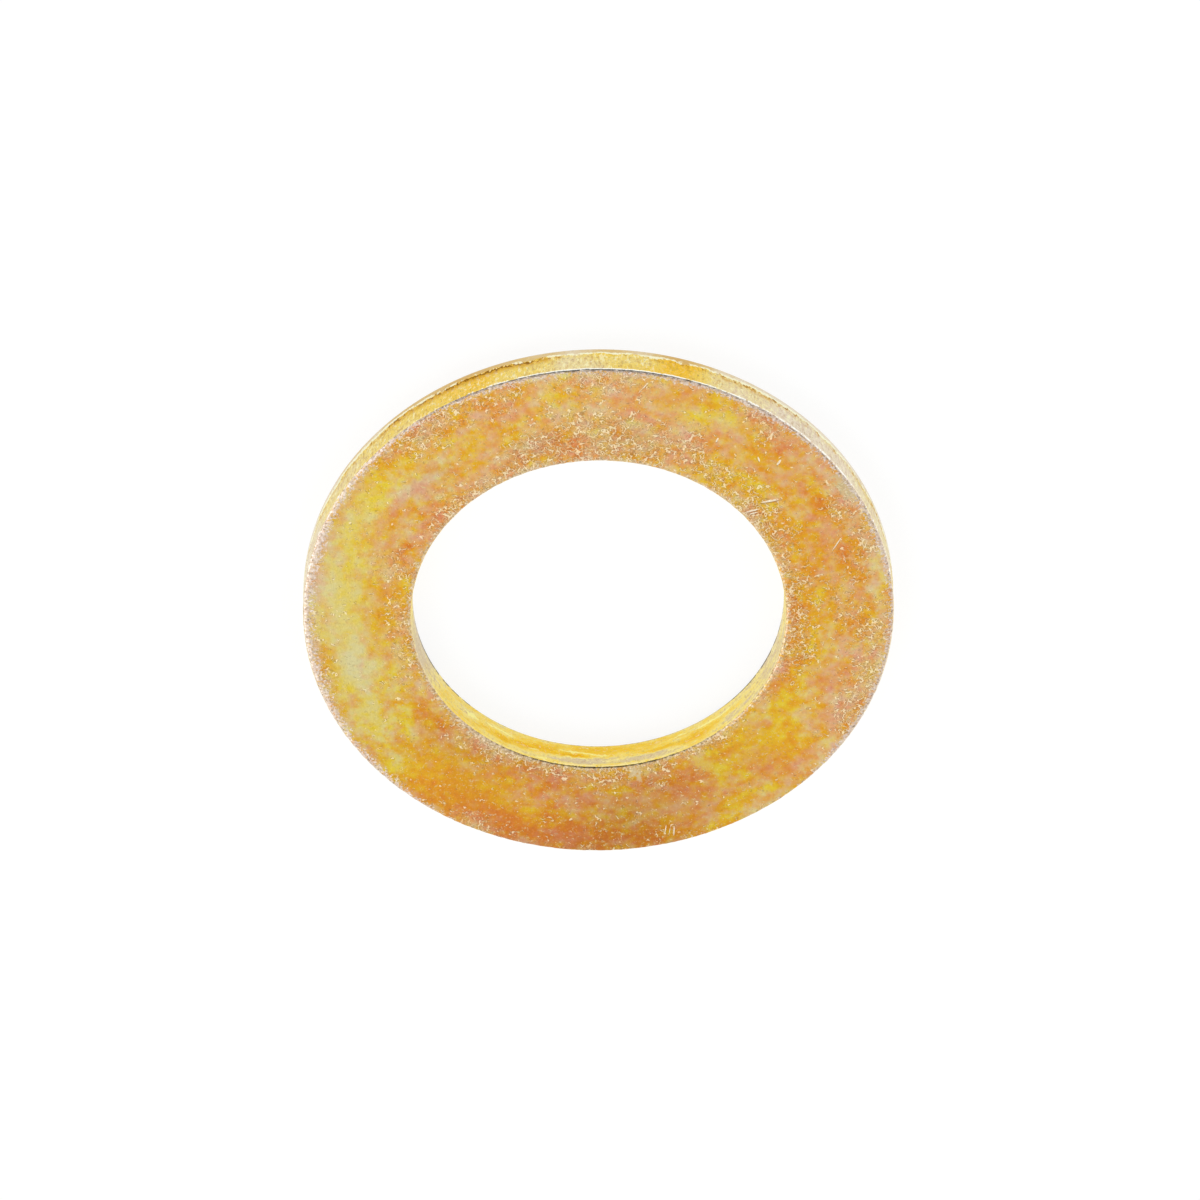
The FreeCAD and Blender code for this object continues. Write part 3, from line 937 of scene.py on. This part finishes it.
CROWDED = [
    (0.8, 9.0, 5.0, 1.8, 0, 100), (6.9, 5.4, 3.8, 1.5, -50, 110), (8.5, -0.8, 3.6, 1.2, 90, 100),
    (10.5, 5.6, 2.4, 1.4, -60, 90), (11.4, 3.1, 1.8, 1.1, 80, 70), (11.7, -1.4, 2.6, 1.2, 88, 90),
    (11.2, -4.2, 2.4, 1.5, 70, 110), (10.6, -6.2, 2.2, 1.2, 60, 50), (10.4, 1.0, 3.0, 1.8, 90, 60),
    (0.6, 12.0, 3.4, 1.4, 0, 100), (7.0, 9.9, 2.0, 1.3, -35, 90), (-4.6, 11.2, 3.2, 1.2, 22, 70),
    (-7.3, 9.5, 2.6, 1.3, 40, 150), (-9.7, 7.8, 1.8, 0.9, 50, 60), (-6.2, 5.8, 2.6, 1.2, 45, 70),
    (-4.2, 7.3, 2.2, 1.1, 30, 80), (-2.6, 8.8, 1.8, 1.2, 0, 60), (-1.6, 10.4, 3.0, 1.2, 0, 30),
    (-8.7, 2.7, 1.8, 1.2, 80, 90), (-8.9, -0.2, 1.6, 1.0, 90, 60), (-8.4, -2.1, 1.4, 1.0, 90, 70),
    (-12.0, -1.0, 1.6, 0.9, 90, 60), (-11.8, -3.2, 1.6, 0.9, 100, 70),
    (-6.1, -6.3, 2.2, 1.2, -45, 50), (-4.2, -7.4, 2.4, 1.1, -30, 90),
    (-1.5, -8.6, 2.2, 1.2, 0, 50), (1.9, -8.6, 3.0, 1.3, 0, 60), (4.7, -6.8, 1.6, 1.1, 35, 70),
    (3.0, -11.6, 2.4, 1.3, 8, 20), (-5.6, -11.0, 2.0, 1.0, -28, 80),
    (-0.6, -10.8, 5.0, 2.2, 0, 20), (4.4, 8.1, 2.6, 1.1, -25, 90), (7.6, 4.6, 2.4, 1.0, -60, 30),
    (8.4, 2.0, 1.8, 0.9, 90, 40), (-3.0, 8.4, 1.8, 1.0, 20, 50), (0.2, 9.9, 2.6, 1.0, 0, 60),
    (8.3, -2.0, 1.6, 0.9, 80, 40), (7.8, -7.2, 2.6, 1.8, -45, -60),
    (-6.6, -8.6, 3.6, 1.4, -30, -50),
]
crowd = patches(CROWDED, (cloud(1.2, 3.0, 0.65, 21) - 0.5) * 2.0 - 0.05)
crowd = crowd + rim_gap.ramp(0.9, 0.0) * 0.25 + bore_gap.ramp(1.1, 0.0) * 0.55
crowd = crowd.held()
large, large_outline = curls(3.8, 0.046, 22, 0.67 - crowd * 0.25)
small, small_outline = curls(6.0, 0.056, 24, 0.67 - crowd * 0.26)
sparks = dots(8.0, 0.26, 26, 0.03 + crowd * 0.25)
pits = dots(9.0, 0.36, 28, 0.02 + crowd * 0.50)
grain = cloud(8.0, 2.0, 0.6, 27)
film = coated(
    film,
    (grain.ramp(0.46, 0.32), 0.12 + crowd * 0.22, srgb(134, 100, 72)),
    (grain.ramp(0.55, 0.68), 0.08 + crowd * 0.18, srgb(250, 216, 160)),
    (small_outline.most(large_outline), 0.40, srgb(132, 104, 68)),
    (pits, 0.26, srgb(122, 94, 66)),
    (small.most(sparks), 0.44, srgb(252, 224, 170)),
    (large, 0.64, srgb(255, 240, 200)),
)
print("flecks crowd in", len(CROWDED), "places")

# %% [markdown]
# A few marks with clear outlines are listed one by one: a pale wedge that points away from the
# bore, a greenish streak beside it, and a greyish patch on the right.

# %% Marks with clear outlines
MARKS = [
    (1.44, -8.26, 0.36, 0.40, 0, srgb(212, 196, 158)),
    (1.58, -8.58, 0.50, 0.20, 105, srgb(212, 196, 158)),
    (4.50, -7.95, 1.00, 0.42, -36, srgb(216, 190, 84)),
    (10.50, 6.55, 1.10, 0.50, -62, srgb(206, 196, 152)),
]
torn_outline = ragged(straight, 4.5, 0.5, 73)
speckled = cloud(5.0, 3.0, 0.75, 74)
on_top = turn.ramp(0.5, 0.8)
for *outline, mark_colour in MARKS:
    spot = oval(torn_outline, *outline) + (speckled - 0.5) * 1.6
    film = coated(film, (spot.ramp(0.10, 0.50) * on_top, 0.60, mark_colour))
print("marks:", len(MARKS))

# %% [markdown]
# ### Scratches
#
# A few straight scratches show the zinc. They are thin hard ovals in coordinates that are left
# straight. Each has a painted shade along one side, a copy of the scratch moved a little towards
# minus Y, where the scratch's wall would turn from the light.

# %% Scratches
SCRATCHES = [
    (7.40, 5.90, 0.56, 0.060, 12),
    (6.58, 5.40, 0.34, 0.050, 15),
    (6.62, 5.27, 0.26, 0.035, 15),
    (10.20, 3.64, 0.46, 0.028, 61),
    (7.70, 7.84, 0.20, 0.060, 59),
    (6.85, 8.02, 0.16, 0.040, -75),
    (5.10, 9.02, 0.15, 0.045, 65),
    (2.00, 11.66, 0.38, 0.030, 52),
    (2.80, -11.49, 0.28, 0.024, 82),
    (2.99, -11.54, 0.38, 0.017, 80),
    (3.17, -11.62, 0.30, 0.030, 88),
]
SHADOW_SHIFT = 0.05
bare = painted_shade_side = None
for middle_x, middle_y, length, width, angle in SCRATCHES:
    cut = oval(straight, middle_x, middle_y, length, width, angle).ramp(0.05, 0.35)
    side = oval(straight, middle_x, middle_y - SHADOW_SHIFT, length, width, angle).ramp(0.05, 0.35)
    bare = bare.most(cut) if bare else cut
    painted_shade_side = painted_shade_side.most(side) if painted_shade_side else side
broken = cloud(6.0, 2.0, 0.6, 71).ramp(0.34, 0.46) * on_top
film = coated(
    film,
    # painted shade: the shifted copy darkens one side of each scratch
    (painted_shade_side * broken, 0.55, srgb(150, 116, 84)),
    (bare * broken, 0.85, srgb(250, 240, 216)),
)
print("scratches:", len(SCRATCHES))

# %% [markdown]
# ### The worn edges
#
# Tumbling rubs the film off the corners first. A speckle of bare zinc runs along both edges of
# the face and thins out within a few tenths of a millimetre, and further on the left.

# %% Edge wear
speckle = cloud(7.0, 3.0, 0.75, 31)
broad = cloud(0.35, 2.0, 0.5, 32)
reach = 1 + x.ramp(-9.0, -12.0) * 0.6
LESS_RIM_WEAR = [(-1.0, -12.4, 10.0, 5.0, 0, -100), (7.5, -10.0, 4.0, 2.6, 40, -40)]
MORE_BORE_WEAR = [(-5.2, -6.6, 4.0, 2.0, -40, 30)]
rim_wear = (speckle - 0.5) * 2.4 + (0.22 - rim_gap / reach) * 1.8 + (broad - 0.5) * 0.5
rim_wear = patches(LESS_RIM_WEAR, rim_wear, straight)
bore_wear = (speckle - 0.5) * 2.2 + (0.17 - bore_gap) * 1.7 + (broad - 0.5) * 0.4
bore_wear = patches(MORE_BORE_WEAR, bore_wear, straight)
chips = cloud(9.0, 2.0, 0.6, 33)
RIM_CHIPS = [
    (0.30, srgb(150, 130, 118)),
    (0.42, srgb(206, 188, 172)),
    (0.55, srgb(222, 206, 194)),
    (0.68, srgb(244, 236, 230)),
]
BORE_CHIPS = [
    (0.30, srgb(140, 108, 66)),
    (0.42, srgb(196, 172, 136)),
    (0.55, srgb(220, 200, 166)),
    (0.68, srgb(246, 230, 202)),
]
colour = coated(
    film,
    (rim_wear.ramp(-0.12, 0.12), 0.85, ramped(RIM_CHIPS, chips)),
    (bore_wear.ramp(-0.12, 0.12), 0.85, ramped(BORE_CHIPS, chips)),
)
print("chips:", len(RIM_CHIPS), "colours at the rim,", len(BORE_CHIPS), "at the bore")

# %% [markdown]
# ### The walls
#
# The rim's tear is cream and yellow, with fine upright streaks where the steel broke. Noise that
# is squeezed along X and Y and not along Z makes such streaks. The land below the crease is
# smooth and has no streaks, so it gets a ramp of its own.

# %% The rim's wall
upright = cloud(1.0, 2.0, 0.65, 47, where=stretched(place, (7.5, 7.5, 2.8)))
fine = cloud(8.0, 3.0, 0.75, 42)
RIM_TONES = [
    (-5.2, 11.6, 3.0, 1.8, 25, 34), (-8.8, 9.0, 3.0, 1.8, 45, 10), (3.5, 12.2, 1.5, 1.2, -16, 50),
    (1.0, 12.7, 1.6, 1.2, 0, 6), (8.8, 9.2, 5.5, 2.4, -45, -42), (10.9, 6.6, 3.4, 2.0, -58, -34),
    (12.4, 2.5, 4.0, 1.6, 90, -30), (-12.2, 3.0, 4.5, 1.8, 80, -35), (-0.2, 12.7, 2.0, 1.2, 0, -6),
]
TORN_STEEL = [
    (0.00, srgb(240, 226, 204)),
    (0.35, srgb(240, 222, 160)),
    (0.60, srgb(246, 219, 104)),
    (0.90, srgb(248, 202, 50)),
]
SMOOTH_LAND = [
    (0.20, srgb(238, 226, 202)),
    (0.50, srgb(228, 200, 140)),
    (0.80, srgb(222, 184, 112)),
]
tone = 0.44 + (cloud(0.5, 3.0, 0.6, 43) - 0.5) * 0.9
rim_tone = patches(RIM_TONES, tone)
torn_tone = rim_tone + (upright - 0.5) * 0.8 + (fine - 0.5) * 0.8 + height.ramp(0.50, 0.0) * 0.16
rim_wall = ramped(TORN_STEEL, torn_tone)
hollow = rim_tone.ramp(0.15, 0.45).mix(srgb(222, 194, 156), srgb(214, 166, 40))
GOLDEN_PART = [(3.7, 12.2, 1.8, 1.4, -16, 100)]
golden_part = patches(GOLDEN_PART, 0.0, straight).ramp(0.1, 0.5)
rim_wall = coated(
    rim_wall,
    (upright.ramp(0.47, 0.34), 0.60, hollow),
    (upright.ramp(0.54, 0.65), 0.65 - golden_part * 0.45, srgb(255, 252, 214)),
    (fine.ramp(0.46, 0.34), 0.45, srgb(176, 146, 64)),
    (fine.ramp(0.55, 0.66), 0.45 - golden_part * 0.25, srgb(255, 250, 228)),
)
rim_land = ramped(SMOOTH_LAND, rim_tone + (fine - 0.5) * 0.4)
ragged_height = height + (cloud(5.0, 3.0, 0.75, 44) - 0.5) * 0.30
rim_wall = ragged_height.ramp(-0.02, 0.02).mix(rim_land, rim_wall)
print("rim wall:", len(RIM_TONES), "patches of tone")

# %% [markdown]
# Along the rim's crease the first of the torn steel is dark in places, over a line that the
# tool has burnished and that carries a painted highlight.

# %% The rim's crease
DARK_CREASE = [
    (-4.6, 11.9, 4.0, 2.2, 20, 42), (-8.2, 9.7, 2.6, 1.8, 44, 16), (7.0, 10.6, 3.2, 2.0, -32, 11),
    (0.4, 12.7, 2.0, 1.4, 0, -25),
]
CREASE_HIGHLIGHTS = [
    (-9.6, 8.4, 4.0, 2.4, 45, 24), (0.8, 12.7, 2.6, 1.4, 0, 10), (8.0, 9.9, 5.0, 2.4, -40, 24),
    (-4.0, 12.0, 3.0, 1.6, 18, -10),
]
drips = ragged_height - (upright - 0.5) * 0.36
crease_dark = patches(DARK_CREASE, cloud(5.0, 2.0, 0.6, 46) - 0.62)
golden = drips.ramp(0.00, 0.05) * drips.ramp(0.46, 0.08) * crease_dark.ramp(-0.14, 0.06)
seam = drips.ramp(0.02, 0.06) * drips.ramp(0.18, 0.08) * crease_dark.ramp(0.02, 0.10)
painted_crease_highlight = (ragged_height + 0.02 + (upright - 0.5) * 0.10).size().ramp(0.085, 0.040)
painted_crease_highlight = painted_crease_highlight * patches(CREASE_HIGHLIGHTS, cloud(2.2, 3.0, 0.7, 45)).ramp(0.44, 0.53)
rim_wall = coated(
    rim_wall,
    (golden, 0.80, srgb(214, 156, 30)),
    (seam, 0.85, srgb(134, 84, 12)),
    # painted highlight along the burnished line at the crease
    (painted_crease_highlight, 0.90, srgb(255, 254, 222)),
)
print("crease:", len(DARK_CREASE), "dark patches,", len(CREASE_HIGHLIGHTS), "bright ones")

# %% [markdown]
# The bore's wall is smoother, and its streaks run round it as the punch left them, so here the
# noise is squeezed along Z. In the bore's lower half, which the photograph shows, X and Z lie
# along the wall. Streaks and glints are placed by these two: x, z, half length, half height.
# The glints are painted highlights, laid into the wall's colour.

# %% The bore's wall
round_streaks = cloud(1.0, 3.0, 0.65, 41, where=stretched(place, (1.3, 1.3, 4.5)))
BORE_TONES = [
    (-5.6, -5.6, 2.6, 2.0, -45, 6), (-8.0, -2.4, 3.2, 1.8, 80, -62), (-0.4, -8.0, 3.6, 1.5, 0, 12),
    (4.4, -6.6, 3.0, 1.8, 35, 4), (7.6, -2.6, 3.6, 2.0, 75, -34),
]
BORE_STREAKS = [
    (-1.15, 0.86, 1.05, 0.2, 2, 52), (-2.8, 0.72, 1.1, 0.38, 0, 55),
    (-4.2, 0.98, 1.4, 0.28, -4, 42), (-5.8, 0.85, 0.6, 0.34, 3, -40),
    (-4.8, 0.45, 1.4, 0.2, 0, -10), (-3.3, 1.3, 0.8, 0.14, 0, -20),
    (-0.6, 1.18, 2.6, 0.36, 0, -72), (2.3, 1.24, 1.8, 0.3, 0, -50), (1.2, 0.46, 3.0, 0.4, 0, 20),
    (-1.2, 0.42, 2.4, 0.3, 0, 12), (2.7, 0.85, 1.2, 0.2, -3, 28), (4.2, 1.0, 1.4, 0.38, -3, 36),
    (5.7, 1.2, 1.4, 0.4, 0, -30), (5.6, 0.4, 1.2, 0.25, 0, -20),
]
PAINTED_BORE_GLINTS = [
    (-1.1, 0.64, 1.1, 0.07, 3, 90), (-1.0, 1.0, 0.7, 0.05, 3, 60), (-0.1, 0.78, 0.7, 0.06, 2, 80),
    (-4.4, 0.58, 1.0, 0.1, 2, 80), (-5.6, 0.75, 0.6, 0.16, 2, 70), (-3.0, 0.98, 0.5, 0.05, 2, 70),
    (5.0, 0.58, 1.3, 0.08, 1, 90), (3.4, 0.5, 0.8, 0.06, 1, 60), (-2.6, 1.4, 0.4, 0.08, 4, 90),
]
BORE_STEEL = [
    (0.00, srgb(224, 206, 172)),
    (0.22, srgb(231, 211, 156)),
    (0.42, srgb(249, 231, 138)),
    (0.60, srgb(250, 217, 84)),
    (0.80, srgb(245, 201, 48)),
    (1.00, srgb(243, 186, 32)),
]
on_wall = start.node("CombineXYZ", None, {0: x, 1: z})
on_wall = ragged(on_wall, 2.4, 0.35, 48)
on_wall = stretched(on_wall, (1, 1, 0))
bore_tone = patches(BORE_TONES, 0.50 + (round_streaks - 0.5) * 1.1)
bore_tone = bore_tone + (fine - 0.5) * 0.8
bore_wall = ramped(BORE_STEEL, patches(BORE_STREAKS, bore_tone, on_wall))
painted_glints = patches(PAINTED_BORE_GLINTS, 0.0, on_wall) + fine - 0.5
bore_wall = coated(
    bore_wall,
    (round_streaks.ramp(0.58, 0.68), 0.35, srgb(255, 250, 206)),
    (fine.ramp(0.45, 0.33), 0.45, srgb(204, 156, 56)),
    (fine.ramp(0.55, 0.67), 0.50, srgb(255, 250, 210)),
    # painted glints: highlights laid into the wall's colour
    (painted_glints.ramp(0.15, 0.45), 0.85, srgb(255, 248, 160)),
)
wall_colour = rim_side.mix(bore_wall, rim_wall)
colour = turn.size().ramp(0.55, 0.40).mix(colour, wall_colour)
print("bore wall:", len(BORE_STREAKS), "streaks,", len(PAINTED_BORE_GLINTS), "painted_glints")

# %% [markdown]
# ### The broken edge
#
# Along each broken edge run two fine painted lines. The dark one is a painted reflection of the
# dark place round the lens, and the bright one is a painted highlight on the tumbled corner.
# On the rim the dark line lies on the face, a tenth of a millimetre in, and the bright one on
# the corner. In the bore the dark line is on the corner and the bright one along the top of the
# wall. Noise breaks them into dashes, and patches say where they are unbroken.

# %% The broken edge's two lines
PAINTED_DARK_EDGE = [
    (1.0, 12.6, 4.5, 3.0, 0, 18), (-4.5, 11.8, 4.5, 3.0, 22, 10), (-7.5, 10.2, 4.0, 3.0, 40, 6),
    (8.4, 9.8, 6.0, 3.2, -45, 10), (0.8, -8.0, 4.5, 2.2, 0, 16),
]
PAINTED_BRIGHT_EDGE = [
    (0.6, 12.6, 7.0, 4.0, 0, 30), (8.6, 9.6, 5.0, 3.0, -45, 16), (0.6, -8.0, 5.0, 2.4, 0, 20),
]
dark_reflection_dashes = patches(PAINTED_DARK_EDGE, cloud(4.0, 3.0, 0.75, 51), straight).ramp(0.56, 0.64)
highlight_dashes = patches(PAINTED_BRIGHT_EDGE, cloud(3.6, 3.0, 0.8, 54), straight).ramp(0.56, 0.64)
in_bore = 1 - rim_side
ragged_turn = turn + (cloud(5.0, 2.0, 0.6, 52) - 0.5) * 0.3 + in_bore * 0.22
small_wave = (cloud(6.0, 2.0, 0.6, 53) - 0.5) * 0.12
wavy_gap = rim_gap + small_wave
rim_line = wavy_gap.ramp(0.090, 0.108) * wavy_gap.ramp(0.150, 0.132)
bore_line = ragged_turn.ramp(0.52, 0.60) * turn.ramp(0.54, 0.46)
bore_line = bore_line * speckle.ramp(0.40, 0.50) * in_bore
painted_dark_reflection = rim_line.most(bore_line) * turn.ramp(0.2, 0.3) * dark_reflection_dashes
corner = ragged_turn.ramp(0.05, 0.13) * ragged_turn.ramp(0.80, 0.66) * rim_side
wall_top = (z + small_wave).ramp(EDGE_START - 0.10, EDGE_START - 0.04)
wall_top = wall_top * turn.ramp(0.40, 0.30) * in_bore
painted_edge_highlight = corner.most(wall_top) * highlight_dashes
dark_reflection_colour = rim_side.mix(srgb(96, 70, 26), srgb(108, 98, 92))
edge_highlight_colour = rim_side.mix(srgb(254, 236, 168), srgb(255, 254, 246))
colour = coated(
    colour,
    # painted highlight and painted dark reflection along the broken edges
    (painted_edge_highlight, 0.88, edge_highlight_colour),
    (painted_dark_reflection, 0.62 + in_bore * 0.14, dark_reflection_colour),
)
print("edges:", len(PAINTED_DARK_EDGE), "dark stretches,", len(PAINTED_BRIGHT_EDGE), "bright ones")

# %% [markdown]
# ### The rolled edge
#
# Round the seat face the film is thin over the bent corner, and a painted shadow darkens it where
# it turns under.

# %% The rolled edge's colour
PAINTED_UNDERCUT_SHADOWS = [
    (-7.6, -2.8, 3.6, 2.2, 70, 16), (5.8, -5.6, 5.0, 2.4, 45, 16),
]
rolled = turn.ramp(-0.04, -0.30) * (1 - faces_down)
rolled_colour = rim_side.mix(srgb(230, 216, 180), srgb(238, 228, 208))
painted_shadow = patches(PAINTED_UNDERCUT_SHADOWS, cloud(2.4, 3.0, 0.75, 55), straight)
shadow_top = z - x.size().ramp(4.5, 7.6) * 0.16 + small_wave
painted_shadow = painted_shadow.ramp(0.50, 0.56) * shadow_top.ramp(0.14, 0.09) * in_bore * turn.ramp(-0.6, -0.4)
# painted shadow: dark colour where the bore's rolled corner turns under
colour = coated(colour, (rolled, 0.88, rolled_colour), (painted_shadow, 0.85, srgb(98, 86, 72)))
print("undercut:", len(PAINTED_UNDERCUT_SHADOWS), "shadows")

# %% [markdown]
# ### Gloss and grain
#
# Plated steel is a metal with a soft sheen. The worn corners are smoother, and the torn walls
# rougher, so they catch the light differently when the washer is turned.

# %% The finished surface
bump_height = cloud(5.0, 4.0, 0.6, 61) + large * 0.4 - painted_shade_side * 0.4
bump_settings = {"Strength": 0.6, "Distance": 0.03 * MM, "Height": bump_height}
bump = start.node("Bump", None, bump_settings)
on_edge = turn.ramp(0.02, 0.12) * turn.ramp(0.98, 0.88)
on_tear = turn.size().ramp(0.3, 0.1) * height.ramp(0.0, 0.04)
roughness = 0.42 - on_edge * 0.14 + on_tear * 0.08
inputs = {"Base Color": colour, "Metallic": 1.0, "Roughness": roughness, "Normal": bump}
surface = start.node("BsdfPrincipled", None, inputs)
start.node("OutputMaterial", None, {"Surface": surface})
washer.data.materials.append(finish)
print("finish:", len(finish.node_tree.nodes), "nodes")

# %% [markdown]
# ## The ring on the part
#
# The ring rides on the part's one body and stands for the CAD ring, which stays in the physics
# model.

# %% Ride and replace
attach(washer, "root")
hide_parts("flat_washer")
